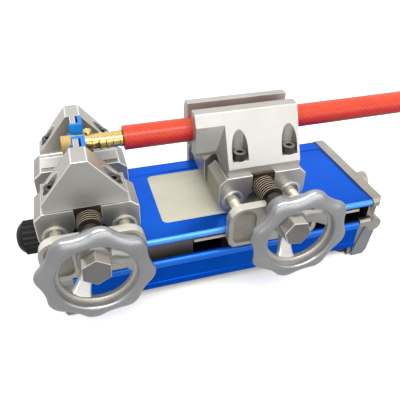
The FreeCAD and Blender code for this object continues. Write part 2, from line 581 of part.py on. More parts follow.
def wheel(label, xname, spokes_deg, lobes_deg):
    b = body(label, xname)
    b.setExpression("Placement.Base.z", "dims.screw_level")
    R1 = 11.0
    c1 = D["wheel_rad"] - R1
    v = D["wheel_valley"]
    h = math.radians(22.5)
    # concave arc radius from tangency
    A = v * v + c1 * c1 - 2 * c1 * v * math.cos(h) - R1 * R1
    B = 2 * R1 - 2 * v + 2 * c1 * math.cos(h)
    R2 = A / B
    c2 = v + R2
    geo, knots = [], []
    for k in range(8):
        a = math.radians(lobes_deg + 45 * k)
        C1 = Vector(c1 * math.cos(a), c1 * math.sin(a), 0)
        for sg in (-1, 1):
            C2 = Vector(c2 * math.cos(a + sg * h), c2 * math.sin(a + sg * h), 0)
            knots.append(C1 + (C2 - C1).normalize() * R1)
    n = len(knots)
    for k in range(8):
        a = math.radians(lobes_deg + 45 * k)
        tip = Vector(D["wheel_rad"] * math.cos(a), D["wheel_rad"] * math.sin(a), 0)
        geo.append(Part.Arc(knots[2 * k], tip, knots[2 * k + 1]))
        low = Vector(v * math.cos(a + h), v * math.sin(a + h), 0)
        geo.append(Part.Arc(knots[2 * k + 1], low, knots[(2 * k + 2) % n]))
    rim = pad_y(b, [geo, circle(0, 0, D["wheel_bore"])], -99.6, "dims.rim_thick", -1)
    doc.recompute()
    outer, inner = [], []
    for i, e in enumerate(rim.Shape.Edges):
        bb = e.BoundBox
        if bb.YMax - bb.YMin < 0.01:
            c = e.Curve
            if isinstance(c, Part.Circle) and abs(c.Radius - D["wheel_bore"]) < 0.01 and c.Center.Length > 90 and \
                    Vector(c.Center.x, 0, c.Center.z).Length < 0.01:
                inner.append("Edge%d" % (i + 1))
            else:
                outer.append("Edge%d" % (i + 1))
    fl = b.newObject("PartDesign::Fillet", uid("fil"))
    fl.Base = (rim, outer)
    fl.Radius = 4.8
    doc.recompute()
    inner = []
    for i, e in enumerate(fl.Shape.Edges):
        bb = e.BoundBox
        c = e.Curve
        if bb.YMax - bb.YMin < 0.01 and isinstance(c, Part.Circle) and abs(c.Radius - D["wheel_bore"]) < 0.01:
            inner.append("Edge%d" % (i + 1))
    f2 = b.newObject("PartDesign::Fillet", uid("fil"))
    f2.Base = (fl, inner)
    f2.Radius = 1.8
    # stepped ring inside the rim, hub, three dished spokes
    pad_y(b, [circle(0, 0, 27.6), circle(0, 0, 24.4)], -99.2, "4.6", -1)
    pad_y(b, [circle(0, 0, D["hub_rad"])], -D["hub_back"], "dims.hub_front - dims.hub_back", -1)
    w = D["spoke_wide"]
    for k in range(3):
        ang = spokes_deg + 120 * k
        # plan outline of one spoke, between two dished planes
        ca, sa = math.cos(math.radians(ang)), math.sin(math.radians(ang))

        def rp(u, vv):
            return (u * ca - vv * sa, u * sa + vv * ca)

        pad_y(b, [loop([rp(9.0, -5.0), rp(17.0, -5.2), rp(17.0, 5.2), rp(9.0, 5.0)])], -86.0, "7", -1)
        pad_y(b, [loop([rp(15.0, -5.1), rp(21.5, -5.6), rp(21.5, 5.6), rp(15.0, 5.1)])], -89.0, "7.5", -1)
        pad_y(b, [loop([rp(20.0, -5.4), rp(26.2, -7.4), rp(26.2, 7.4), rp(20.0, 5.4)])], -93.0, "8", -1)
    cut_y(b, [circle(0, 0, D["hub_bore"])], -70.0, "24", -1)
    return b


def wheel_nut(label, xname, deg):
    h = hexagon("dims.hex_flat", "dims.hex_long", (0, -93.0, SZ), "-y", deg)
    return node(cut(h, cyl(6.05, 8.2, (0, -92.9, SZ), "-y")), label, xname)


def rods(label, xname):
    return group([cyl("dims.rod_rad", "dims.rod_len", (k * RX, -D["rod_len"] / 2, RZ), "y") for k in (-1, 1)], label, xname)


def yoke_screws(label, xname, holes):
    return group([cap_screw((x, y, 44.7), "-z", 4.25, 3.0, 2.5, 6.0, 3.0) for x in holes for y in (-48.2, 48.2)], label,
                 xname)


def hose_jaw(label, s):
    b = body(label, "hose_x")
    ji, T = D["jaw_inner"], D["hose_jaw_top"]
    main = [(s * ji, D["block_top"]), (s * 34.0, D["block_top"]), (s * 34.0, 106.6), (s * 15.0, T, 2.2), (s * ji, T)]
    pad_x(b, [loop(main)], -37.1, "dims.jaw_main_len + 7")
    # slanted web between the long nose and the wide clamp block
    sk = sketch(b, "XY_Plane", [loop([(-60, -60), (60, -60), (60, 60), (-60, 60)])])
    sk.AttachmentOffset = Placement(Vector(-30.1, s * 19.4, 140.2),
                                    Rotation(Vector(0, 0, 1), Vector(-327.04, s * 221.76, 96.36)))
    pocket(b, sk, "60", True)
    cut_y(b, [loop([(-38.5, 99.5), (-30.1, 99.5), (-30.1, 100.7), (-36.9, 117.8), (-38.5, 117.8)])], s * (ji - 1), "40", s)
    nose = [(s * ji, 112.5), (s * 15.5, 112.5), (s * 19.4, 117.8), (s * 19.4, 140.18), (s * 15.0, T, 2.2), (s * ji, T)]
    pad_x(b, [loop(nose)], -30.1 - D["jaw_nose_len"], "dims.jaw_nose_len + 1")
    cut_x(b, [circle(0, D["axis_level"], D["groove_rad"])], -30.1 - D["jaw_nose_len"] - 1, "dims.jaw_main_len + 28", 1)
    # pockets for the screw heads: round at the back, straight sides running out through the slope
    for x in (D["hose_bolt_left"], D["hose_bolt_right"]):
        cut_z(b, [circle(x, s * 28.2, 7.0)], D["hose_bolt_seat"], "40", 1)
        cut_z(b, [loop([(x - 7.0, s * 28.2), (x + 7.0, s * 28.2), (x + 7.0, s * 37.0), (x - 7.0, s * 37.0)])],
              D["hose_bolt_seat"], "40", 1)
        cut_z(b, [circle(x, s * D["hose_bolt_y"], 3.1)], D["block_top"] - 1, "20", 1)
    return b


def fitting_jaw(label, s):
    b = body(label, "fit_x")
    T, BT, W = D["fit_jaw_top"], D["block_top"], D["fit_jaw_half"]
    FT = D["fit_foot_top"]
    pad_y(b, [loop([(-W, BT), (W, BT), (W, FT), (5.6, T), (-5.6, T), (-W, FT)])], s * D["fit_jaw_in"],
          "dims.fit_jaw_out - dims.fit_jaw_in", s)
    pad_y(b, [loop([(-W, BT), (W, BT), (W, FT), (-W, FT)])], s * D["fit_foot_in"], "dims.fit_jaw_in - dims.fit_foot_in + 1", s)
    pad_y(b, [loop([(-2.5, D["finger_low"]), (1.9, D["finger_low"]), (1.9, T), (-2.5, T)])], s * D["finger_tip"],
          "dims.fit_jaw_in - dims.finger_tip + 1", s)
    # relief under the outer edge, so the block's bright edge shows below it
    cut_x(b, [loop([(s * 49.0, 103.9), (s * 49.0, 99.0), (s * 44.2, 99.0), (s * 44.2, 100.2)])], -40.0, "80", 1)
    bx, by = D["fit_bolt_dx"], s * D["fit_bolt_y"]
    cut_z(b, [circle(-bx, by, 6.6), circle(bx, by, 6.6)], D["fit_bolt_seat"], "40", 1)
    cut_z(b, [circle(-bx, by, 3.1), circle(bx, by, 3.1)], BT - 1, "20", 1)
    return b


def insert(label, s):
    b = body(label, "fit_x")
    g = D["grip_face"]
    # toothed grip block
    teeth = []
    n = 10
    for k in range(n):
        x0 = -6.0 + 1.27 * k
        teeth += [(x0, s * (g + 0.7)), (x0 + 0.635, s * g)]
    pts = teeth + [(6.7, s * (g + 0.7)), (6.7, s * 13.0), (-6.0, s * 13.0)]
    pad_z(b, [loop(pts)], D["insert_low"], "15.5")
    pts = [(-3.5, s * 9.2), (6.7, s * 9.2), (6.7, s * 25.9), (3.5, s * 25.9), (3.5, s * 13.0), (-3.5, s * 13.0)]
    pad_z(b, [loop(pts)], D["insert_low"], "dims.fit_jaw_top - dims.insert_low")
    return b


for v, xname, out, bdx, by, seat, bst in (("hose", "hose_x", D["hose_block_out"],
                                           (D["hose_bolt_left"], D["hose_bolt_right"]), D["hose_bolt_y"],
                                           D["hose_bolt_seat"], 0),
                                          ("fitting", "fit_x", D["fit_block_out"], (-D["fit_bolt_dx"], D["fit_bolt_dx"]), D["fit_bolt_y"],
                                           D["fit_bolt_seat"], 0)):
    hs = (-22.0, 22.0) if v == "hose" else (-14.0, 22.0)
    for side, s in (("front", FRONT), ("rear", REAR)):
        yoke("%s_yoke_%s" % (v, side), s, xname, hs, -33.0 if v == "hose" else -17.0)
        slide("%s_slide_%s" % (v, side), s, xname, out, bdx, by)
        nut("%s_nut_%s" % (v, side), s, xname, out)
        bushings("%s_bushings_%s" % (v, side), s, xname, out)
        jaw_screws("%s_jaw_screws_%s" % (v, side), s, xname, bdx, by, seat)
        if v == "hose":
            hose_jaw("hose_jaw_%s" % side, s)
        else:
            fitting_jaw("fitting_jaw_%s" % side, s)
            insert("fitting_insert_%s" % side, s)
    yoke_screws("%s_yoke_screws" % v, xname, hs)
    rods("%s_rods" % v, xname)
    vise_screw("%s_vise_screw" % v, xname)
    collars("%s_collars" % v, xname)
wheel("fitting_handwheel", "fit_x", 239.0, 34.5)
wheel_nut("fitting_wheel_nut", "fit_x", 27.0)
wheel("hose_handwheel", "hose_x", 257.5, 32.5)
wheel_nut("hose_wheel_nut", "hose_x", 52.0)

# ---------------------------------------------------------------- barbed fitting held in the left vise
fit = body("barb_fitting")
za = D["axis_level"]
fr, cr, br = D["fitting_rad"], D["collar_rad"], D["barb_rad"]
out = [(-121.0, fr - 0.6), (-120.4, fr), (-103.0, fr), (-103.0, cr - 0.5), (-102.5, cr), (-98.2, cr), (-97.7, cr - 0.5),
       (-97.7, 6.1)]
for k in range(4):
    x = -92.2 + 5.3 * k
    out += [(x, 6.0), (x, br), (x + 0.6, br), (x + 5.0, 6.0)]
out += [(-73.9, 5.4), (-73.9, 4.3), (-105.0, 4.3), (-106.0, 5.6), (-121.0, 5.6)]
rv = fit.newObject("PartDesign::Revolution", "fitting_turn")
rv.Profile = sketch(fit, "XZ_Plane", [loop([(x, za + r) for x, r in out])])
axs = sketch(fit, "XZ_Plane", [[Part.LineSegment(Vector(-130, za, 0), Vector(-60, za, 0))]])
rv.ReferenceAxis = (axs, ["Edge1"])
rv.Angle = 360
pad(fit, sketch(fit, "XY_Plane", [circle(-100.4, 0.2, 3.3)], za + 6.5), "4.2")
cut_z(fit, [circle(-100.4, 0.2, 1.0)], za + 9.6, "2", 1)

# everything but the hose moves to the shared frame
for o in NODES:
    if o.Label == "sample_hose":
        continue
    here = [e for e in o.ExpressionEngine if e[0].lstrip(".") == "Placement.Base.x"]
    o.setExpression("Placement.Base.x", (here[0][1] + " + " if here else "") + "dims.shift_x")
    o.setExpression("Placement.Base.y", "dims.shift_y")
doc.recompute()
bad = 0
for o in doc.Objects:
    if any(w in o.State for w in ("Invalid", "Error")):
        print("BAD STATE", o.Name, o.Label, o.State)
        bad += 1
total = 0
for o in NODES:
    sh = o.Shape
    ok = (not sh.isNull()) and sh.isValid()
    print("%-24s %s solids %d volume %.1f mm3" % (o.Label, "ok" if ok else "NOT VALID", len(sh.Solids), sh.Volume if ok else 0))
    if not ok or not sh.Solids:
        bad += 1
    else:
        sh.exportStep("parts/%s.step" % o.Label)
        total += 1
L = path.Length
vol = math.pi * (D["hose_rad"] ** 2 - D["hose_bore"] ** 2) * L
print("hose length %.1f mm, volume %.1f against section x length %.1f" % (L, hose_obj.Shape.Volume, vol))
print("nodes", total, "bad", bad)
if bad:
    raise SystemExit(1)
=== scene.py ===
import json
import math

import bmesh
import bpy
from mathutils import Matrix, Vector

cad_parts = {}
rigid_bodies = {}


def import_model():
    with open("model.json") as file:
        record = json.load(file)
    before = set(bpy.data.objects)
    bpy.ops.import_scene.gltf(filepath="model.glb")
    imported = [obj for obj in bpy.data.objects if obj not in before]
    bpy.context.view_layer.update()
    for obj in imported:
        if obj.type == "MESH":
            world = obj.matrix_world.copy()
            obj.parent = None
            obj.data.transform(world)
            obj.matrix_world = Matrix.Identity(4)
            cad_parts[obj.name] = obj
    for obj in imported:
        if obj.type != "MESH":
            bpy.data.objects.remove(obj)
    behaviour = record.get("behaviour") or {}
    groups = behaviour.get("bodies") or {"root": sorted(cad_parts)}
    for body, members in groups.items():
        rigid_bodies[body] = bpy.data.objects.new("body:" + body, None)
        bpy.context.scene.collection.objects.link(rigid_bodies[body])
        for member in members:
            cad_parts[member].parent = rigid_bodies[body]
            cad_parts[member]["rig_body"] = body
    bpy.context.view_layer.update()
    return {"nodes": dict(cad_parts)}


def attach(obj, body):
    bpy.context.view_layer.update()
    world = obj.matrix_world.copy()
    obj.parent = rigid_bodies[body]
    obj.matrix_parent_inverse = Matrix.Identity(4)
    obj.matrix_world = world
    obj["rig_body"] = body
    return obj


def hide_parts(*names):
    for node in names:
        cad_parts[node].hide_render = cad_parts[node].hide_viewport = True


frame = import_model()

NODES = frame["nodes"]
MM = 0.001
SX, SY = 2.0, 19.25            # shift from the tool's own middle to the shared frame, mm
XL, XH = -109.8 + SX, 36.1 + SX  # fitting vise and hose vise
YC = SY
ZS, ZR, ZA, ZD = 89.3, 78.0, 130.2, 46.2  # vise screws, rods, hose axis, drive
TAU = 2 * math.pi


def P(x, y, z):
    return Vector((x * MM, y * MM, z * MM))


# ---------------------------------------------------------------- camera
YAW, PITCH, ROLL = math.radians(16.8505), math.radians(36.3729), math.radians(0.7513)
fwd = Vector((math.sin(YAW) * math.cos(PITCH), math.cos(YAW) * math.cos(PITCH), -math.sin(PITCH)))
rgt = Vector((math.cos(YAW), -math.sin(YAW), 0))
upv = rgt.cross(fwd)
r2 = rgt * math.cos(ROLL) + upv * math.sin(ROLL)
u2 = -rgt * math.sin(ROLL) + upv * math.cos(ROLL)
cam_data = bpy.data.cameras.new("camera")
cam_data.sensor_width = 36.0
cam_data.lens = 36.0 * 450.827 / 400.0
cam_data.clip_start, cam_data.clip_end = 0.01, 20.0
cam = bpy.data.objects.new("camera", cam_data)
bpy.context.scene.collection.objects.link(cam)
m = Matrix((r2, u2, -fwd)).transposed().to_4x4()
m.translation = P(-106.388 + SX, -324.253 + SY, 304.966)
cam.matrix_world = m
bpy.context.scene.camera = cam


# ---------------------------------------------------------------- materials
class Nodes:
    """short way to write a node tree"""

    def __init__(self, name):
        self.mat = bpy.data.materials.new(name)
        self.mat.use_nodes = True
        self.t = self.mat.node_tree
        self.t.nodes.clear()
        self.out = self.t.nodes.new("ShaderNodeOutputMaterial")
        self.bsdf = self.t.nodes.new("ShaderNodeBsdfPrincipled")
        self.t.links.new(self.bsdf.outputs[0], self.out.inputs[0])
        self.mat.diffuse_color = (0.6, 0.6, 0.6, 1)

    def new(self, kind, **kw):
        n = self.t.nodes.new(kind)
        for k, v in kw.items():
            setattr(n, k, v)
        return n

    def put(self, node, key, value):
        s = node.inputs[key]
        if isinstance(value, bpy.types.NodeSocket):
            self.t.links.new(value, s)
        else:
            s.default_value = value

    def coords(self, scale=(1, 1, 1)):
        c = self.new("ShaderNodeTexCoord")
        mp = self.new("ShaderNodeMapping")
        self.put(mp, "Vector", c.outputs["Object"])
        mp.inputs["Scale"].default_value = scale
        return mp.outputs[0]

    def noise(self, vec, scale, detail=4.0, rough=0.55):
        n = self.new("ShaderNodeTexNoise")
        self.put(n, "Vector", vec)
        n.inputs["Scale"].default_value = scale
        n.inputs["Detail"].default_value = detail
        n.inputs["Roughness"].default_value = rough
        return n.outputs["Fac"]

    def ramp(self, fac, stops):
        r = self.new("ShaderNodeValToRGB")
        el = r.color_ramp.elements
        while len(el) > len(stops):
            el.remove(el[-1])
        while len(el) < len(stops):
            el.new(0.5)
        for e, (p, c) in zip(el, stops):
            e.position = p
            e.color = tuple(c) + (1,) if len(c) == 3 else c
        self.put(r, "Fac", fac)
        return r.outputs["Color"]

    def remap(self, v, a, b, lo=0.0, hi=1.0):
        r = self.new("ShaderNodeMapRange")
        self.put(r, "Value", v)
        r.inputs["From Min"].default_value = lo
        r.inputs["From Max"].default_value = hi
        r.inputs["To Min"].default_value = a
        r.inputs["To Max"].default_value = b
        return r.outputs[0]

    def math(self, op, a, b=0.0, c=None):
        n = self.new("ShaderNodeMath", operation=op)
        self.put(n, 0, a)
        self.put(n, 1, b)
        if c is not None:
            self.put(n, 2, c)
        return n.outputs[0]

    def bump(self, height, strength, dist):
        b = self.new("ShaderNodeBump")
        self.put(b, "Height", height)
        b.inputs["Strength"].default_value = strength
        b.inputs["Distance"].default_value = dist
        self.put(self.bsdf, "Normal", b.outputs[0])

    def mix(self, fac, a, b):
        n = self.new("ShaderNodeMix", data_type="RGBA")
        self.put(n, 0, fac)
        for key, v in ((6, a), (7, b)):
            if isinstance(v, bpy.types.NodeSocket):
                self.t.links.new(v, n.inputs[key])
            else:
                n.inputs[key].default_value = tuple(v) + (1,) if len(v) == 3 else v
        return n.outputs[2]


def metal(name, dark, light, rough=(0.3, 0.4), grain=900.0, cloud=28.0, bump=0.12, dist=0.00006, metallic=1.0, stretch=(1, 1, 1), spec=0.5):
    """cast or machined metal: cloudy tone, fine grain in gloss and height"""
    n = Nodes(name)
    v = n.coords(stretch)
    big = n.noise(v, cloud, 5.0, 0.6)
    fine = n.noise(v, grain, 3.0, 0.6)
    mixed = n.math("ADD", n.math("MULTIPLY", big, 0.7), n.math("MULTIPLY", fine, 0.3))
    n.put(n.bsdf, "Base Color", n.ramp(mixed, [(0.3, dark), (0.7, light)]))
    n.put(n.bsdf, "Roughness", n.remap(mixed, rough[0], rough[1], 0.3, 0.7))
    n.bsdf.inputs["Metallic"].default_value = metallic
    n.bsdf.inputs["Specular IOR Level"].default_value = spec
    n.bump(fine, bump, dist)
    return n.mat


M_CAST = metal("cast_alloy", (0.34, 0.325, 0.29), (0.47, 0.455, 0.415), (0.38, 0.48), 1500, 40, 0.12, 0.00006, metallic=0.8)
M_CAP = metal("cap_alloy", (0.29, 0.275, 0.235), (0.40, 0.385, 0.345), (0.38, 0.48), 1500, 40, 0.12, 0.00006, metallic=0.8)
# painted shade: a darker, browner copy of the cast alloy for the yoke recesses, with a coarser as-cast grain
M_RECESS_SHADE = metal("cast_recess_painted_shade", (0.20, 0.182, 0.15), (0.35, 0.335, 0.305), (0.45, 0.58), 1300, 55, 0.2, 0.00008, metallic=0.75)
M_WHEEL = metal("wheel_alloy", (0.265, 0.267, 0.272), (0.37, 0.375, 0.385), (0.27, 0.33), 700, 22, 0.03, 0.00004, metallic=0.88)
M_SPOKE = metal("spoke_alloy", (0.34, 0.336, 0.325), (0.46, 0.456, 0.45), (0.30, 0.38), 700, 24, 0.05, 0.00004, metallic=0.8)
# painted light: a lighter copy of the wheel alloy for the rim's inner edge and the stepped ring
M_WHEEL_IN_LIT = metal("wheel_inside_painted_light", (0.34, 0.325, 0.295), (0.48, 0.465, 0.435), (0.34, 0.46), 900, 34, 0.10, 0.00005, metallic=0.85)
M_MACH = metal("machined_alloy", (0.37, 0.360, 0.335), (0.46, 0.452, 0.428), (0.36, 0.44), 2200, 24, 0.06, 0.00003, metallic=0.82)
# painted highlights: lighter copies of the machined alloy for the bevelled edges, a strong one and a softer one
M_EDGE_HIGHLIGHT = metal("edge_painted_highlight", (0.62, 0.61, 0.58), (0.80, 0.79, 0.76), (0.30, 0.36), 1500, 60, 0.04, 0.00002, metallic=0.8)
M_SOFTEDGE_HIGHLIGHT = metal("soft_edge_painted_highlight", (0.45, 0.44, 0.41), (0.56, 0.55, 0.52), (0.34, 0.40), 1500, 60, 0.04, 0.00002, metallic=0.8)
# painted light: a near-white, less metallic copy of the machined alloy for the lit foot face
M_FOOT_FACE_LIT = metal("foot_face_painted_light", (0.78, 0.77, 0.73), (0.90, 0.89, 0.85), (0.40, 0.48), 2200, 24, 0.06, 0.00003, metallic=0.35)
M_BLOCK = metal("block_alloy", (0.13, 0.117, 0.098), (0.20, 0.187, 0.165), (0.40, 0.5), 1500, 30, 0.08, 0.00004, metallic=0.85)
# painted shade: a darker copy of the machined alloy for the fitting vise slides
M_SLIDE_SHADE = metal("slide_alloy_painted_shade", (0.25, 0.243, 0.222), (0.40, 0.394, 0.375), (0.34, 0.42), 2200, 24, 0.06, 0.00003, metallic=0.85)
# painted light: a lighter copy of the cast alloy for the yokes' upward faces
M_YOKE_TOP_LIT = metal("yoke_top_painted_light", (0.58, 0.565, 0.50), (0.72, 0.705, 0.64), (0.36, 0.44), 1500, 40, 0.08, 0.00005, metallic=0.6)
M_LEG = metal("cap_leg", (0.20, 0.205, 0.225), (0.28, 0.288, 0.31), (0.40, 0.50), 1500, 40, 0.12, 0.00006, metallic=0.8)
# painted shade: a darker, warmer copy of the machined alloy for faces in shade
M_WARM = metal("shaded_alloy", (0.20, 0.18, 0.155), (0.28, 0.26, 0.23), (0.38, 0.46), 2200, 24, 0.06, 0.00003, metallic=0.8)
# painted shade: a darker, browner copy of the machined alloy for the slide blocks' left sides
M_SIDE_SHADE = metal("side_alloy_painted_shade", (0.25, 0.228, 0.185), (0.34, 0.315, 0.265), (0.36, 0.44), 2200, 24, 0.06, 0.00003, metallic=0.82)
# painted reflection: a lighter, warmer copy of the nut steel for the six flats
M_HEX_FLATS_REFLECTION = metal("hex_flats_painted_reflection", (0.36, 0.335, 0.285), (0.50, 0.47, 0.41), (0.28, 0.36), 1800, 30, 0.08, 0.00004, metallic=0.8)
# painted light: a lighter copy of the black screw steel for the lit tops of the hose jaw screws
M_SCREW_TOPS_LIT = metal("jaw_screws", (0.20, 0.188, 0.165), (0.31, 0.295, 0.26), (0.32, 0.42), 1500, 60, 0.1, 0.00004, metallic=0.8)
M_SHADE = metal("cap_inside", (0.020, 0.020, 0.022), (0.045, 0.045, 0.050), (0.5, 0.6), 1500, 40, 0.12, 0.00006, metallic=0.6)
M_BRIGHT = metal("bright_steel", (0.42, 0.40, 0.36), (0.54, 0.52, 0.48), (0.20, 0.28), 1200, 30, 0.05, 0.00002, stretch=(1, 0.1, 1))
M_BUSH = metal("bushing_alloy", (0.60, 0.59, 0.55), (0.74, 0.73, 0.69), (0.34, 0.42), 1200, 30, 0.05, 0.00002, metallic=0.8)
M_RODS = metal("ground_rod", (0.80, 0.76, 0.63), (0.92, 0.88, 0.76), (0.13, 0.19), 900, 30, 0.03, 0.00001, metallic=0.7, stretch=(1, 0.05, 1))
M_HEX = metal("hex_steel", (0.17, 0.168, 0.166), (0.25, 0.247, 0.243), (0.30, 0.40), 1800, 30, 0.10, 0.00004, metallic=0.9)
# dark steel and painted shade for the thread's flanks and roots; a lighter, less metallic copy paints a highlight on
# the crests
M_THREAD_ROOT_SHADE = metal("thread_root_dark_and_painted_shade", (0.010, 0.008, 0.006), (0.030, 0.023, 0.016), (0.35, 0.5), 900, 60, 0.1, 0.00004, metallic=0.8)
M_CREST_HIGHLIGHT = metal("thread_crest_painted_highlight", (0.46, 0.38, 0.28), (0.68, 0.58, 0.45), (0.30, 0.42), 900, 60, 0.06, 0.00003, metallic=0.3)
M_BLACK = metal("black_screws", (0.045, 0.043, 0.040), (0.12, 0.115, 0.105), (0.32, 0.45), 1500, 60, 0.1, 0.00004, metallic=0.9)
M_BRONZE = metal("bearing_bronze", (0.10, 0.078, 0.05), (0.17, 0.13, 0.085), (0.28, 0.4), 1500, 50, 0.08, 0.00004)
M_RAIL = metal("rail_foot", (0.38, 0.31, 0.25), (0.62, 0.54, 0.47), (0.35, 0.45), 900, 20, 0.05, 0.00003, metallic=0.5)
M_BRASS = metal("brass", (0.55, 0.37, 0.12), (0.72, 0.53, 0.21), (0.12, 0.22), 900, 40, 0.05, 0.00002)


def anodised(name, deep, bright, rough, metallic=0.6, spec=0.3, coat=0.1):
    """blue anodised extrusion: fine draw lines along its length"""
    n = Nodes(name)
    lines = n.noise(n.coords((2.0, 900.0, 900.0)), 1.0, 3.0, 0.6)
    cloud = n.noise(n.coords(), 16.0, 4.0, 0.6)
    f = n.math("ADD", n.math("MULTIPLY", lines, 0.35), n.math("MULTIPLY", cloud, 0.65))
    n.put(n.bsdf, "Base Color", n.ramp(f, [(0.3, deep), (0.7, bright)]))
    n.put(n.bsdf, "Roughness", n.remap(f, rough[0], rough[1], 0.3, 0.7))
    n.bsdf.inputs["Metallic"].default_value = metallic
    n.bsdf.inputs["Specular IOR Level"].default_value = spec
    n.bsdf.inputs["Specular Tint"].default_value = (0.15, 0.42, 1.0, 1)
    n.bsdf.inputs["Coat Weight"].default_value = coat
    n.bsdf.inputs["Coat Roughness"].default_value = 0.25
    n.bump(lines, 0.05, 0.00003)
    return n.mat


M_DECK = anodised("blue_deck", (0.002, 0.078, 0.50), (0.003, 0.108, 0.62), (0.28, 0.36), 0.75, 0.2, 0.1)
M_BLUE = anodised("blue_base", (0.0, 0.044, 0.33), (0.0, 0.075, 0.47), (0.26, 0.34), 0.75, 0.2, 0.0)
# painted highlight: a lighter copy of the deck blue for its rounded long edges
M_DECK_BEAD_HIGHLIGHT = anodised("blue_deck_bead_painted_highlight", (0.055, 0.23, 0.68), (0.09, 0.29, 0.78), (0.28, 0.36), 0.6, 0.2, 0.1)
# painted highlight: a lighter copy of the base blue for its rounded upper edge
M_BASE_BEAD_HIGHLIGHT = anodised("blue_base_bead_painted_highlight", (0.012, 0.105, 0.50), (0.03, 0.15, 0.62), (0.26, 0.34), 0.65, 0.2, 0.0)
M_INSIDE = anodised("base_inside", (0.0, 0.006, 0.040), (0.001, 0.010, 0.060), (0.5, 0.6), 0.6, 0.2, 0.0)


def plastic(name, dark, light, rough=(0.35, 0.5), grain=1600.0, bump=0.15, dist=0.00006, coat=0.0, spec=0.5):
    n = Nodes(name)
    v = n.coords()
    fine = n.noise(v, grain, 3.0, 0.6)
    cloud = n.noise(v, 40.0, 4.0, 0.6)
    f = n.math("ADD", n.math("MULTIPLY", cloud, 0.6), n.math("MULTIPLY", fine, 0.4))
    n.put(n.bsdf, "Base Color", n.ramp(f, [(0.3, dark), (0.7, light)]))
    n.put(n.bsdf, "Roughness", n.remap(f, rough[0], rough[1], 0.3, 0.7))
    n.bsdf.inputs["Coat Weight"].default_value = coat
    n.bsdf.inputs["Specular IOR Level"].default_value = spec
    n.bump(fine, bump, dist)
    return n.mat


M_NYLON = plastic("blue_nylon", (0.0005, 0.13, 0.47), (0.001, 0.175, 0.56), (0.42, 0.52), spec=0.25)
M_RUBBER = plastic("black_rubber", (0.010, 0.010, 0.011), (0.030, 0.030, 0.032), (0.42, 0.6))
M_LABEL = plastic("label_film", (0.42, 0.41, 0.32), (0.49, 0.48, 0.385), (0.38, 0.5), 500, 0.05)


def hose_material():
    """red hose: a braid shows faintly through a glossy skin; u runs along it, v round it"""
    n = Nodes("red_hose")
    uv = n.new("ShaderNodeUVMap")
    uv.uv_map = "along"
    sep = n.new("ShaderNodeSeparateXYZ")
    n.put(sep, "Vector", uv.outputs[0])
    u, v = sep.outputs["X"], sep.outputs["Y"]
    # u in millimetres, v in turns: two families of threads that cross, one stronger
    a = n.math("ADD", n.math("MULTIPLY", u, 0.21), n.math("MULTIPLY", v, 14.0))
    b = n.math("SUBTRACT", n.math("MULTIPLY", u, 0.21), n.math("MULTIPLY", v, 14.0))
    sa = n.remap(n.math("SINE", n.math("MULTIPLY", a, TAU)), 0.0, 1.0, -1.0, 1.0)
    sb = n.remap(n.math("SINE", n.math("MULTIPLY", b, TAU)), 0.0, 1.0, -1.0, 1.0)
    w = n.math("MAXIMUM", n.math("MULTIPLY", sa, 1.0), n.math("MULTIPLY", sb, 0.75))
    cloud = n.noise(n.coords((1, 1, 1)), 70.0, 3.0, 0.6)
    # painted light and shade round the hose: the upper side is painted lit orange, the underside falls off to a painted
    # deep red
    up = n.remap(n.math("COSINE", n.math("MULTIPLY", n.math("SUBTRACT", v, 0.22), TAU)), 0.0, 1.0, -0.55, 0.92)
    f = n.math("ADD", n.math("MULTIPLY", w, 0.12), n.math("ADD", n.math("MULTIPLY", cloud, 0.26), n.math("MULTIPLY", up, 0.62)))
    n.put(n.bsdf, "Base Color", n.ramp(f, [(0.12, (0.13, 0.001, 0.004)), (0.50, (0.32, 0.006, 0.004)), (0.92, (0.49, 0.050, 0.014))]))
    n.bsdf.inputs["Roughness"].default_value = 0.42
    n.bsdf.inputs["Subsurface Weight"].default_value = 0.04
    n.bsdf.inputs["Subsurface Radius"].default_value = (0.003, 0.0006, 0.0004)
    n.bsdf.inputs["Subsurface Scale"].default_value = 1.0
    n.bsdf.inputs["Specular IOR Level"].default_value = 0.18
    n.bsdf.inputs["Coat Weight"].default_value = 0.30
    n.bsdf.inputs["Coat Roughness"].default_value = 0.09
    n.bump(w, 0.10, 0.00018)
    b = n.new("ShaderNodeBump")
    n.put(b, "Height", w)
    b.inputs["Strength"].default_value = 0.5
    b.inputs["Distance"].default_value = 0.00018
    n.put(n.bsdf, "Coat Normal", b.outputs[0])
    return n.mat


M_HOSE = hose_material()
M_DOME = plastic("cap_black", (0.004, 0.004, 0.004), (0.012, 0.012, 0.012), (0.34, 0.42), spec=0.14)
M_HOSE_IN = plastic("hose_lining", (0.02, 0.02, 0.02), (0.05, 0.045, 0.045), (0.5, 0.6))


# ---------------------------------------------------------------- mesh helpers
def new_object(name, mesh, mats, body, nodes=(), sharp=40.0):
    o = bpy.data.objects.new(name, mesh)
    bpy.context.scene.collection.objects.link(o)
    kept = [f.material_index for f in mesh.polygons]
    mesh.materials.clear()
    for mt in mats:
        mesh.materials.append(mt)
    for f, i in zip(mesh.polygons, kept):
        f.material_index = i
    mesh.shade_smooth()
    if sharp:
        mesh.set_sharp_from_angle(angle=math.radians(sharp))
    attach(o, body)
    if nodes:
        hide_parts(*nodes)
    return o


def applied(o):
    dg = bpy.context.evaluated_depsgraph_get()
    me = bpy.data.meshes.new_from_object(o.evaluated_get(dg), preserve_all_data_layers=True, depsgraph=dg)
    return me


def even_normals(o):
    """large faces keep their own normal, small edge faces blend between them"""
    w = o.modifiers.new("even", "WEIGHTED_NORMAL")
    w.mode = "FACE_AREA"
    w.weight = 100
    w.thresh = 0.01
    w.keep_sharp = True
    old = o.data
    name = old.name
    me = applied(o)
    o.modifiers.clear()
    o.data = me
    bpy.data.meshes.remove(old)
    me.name = name


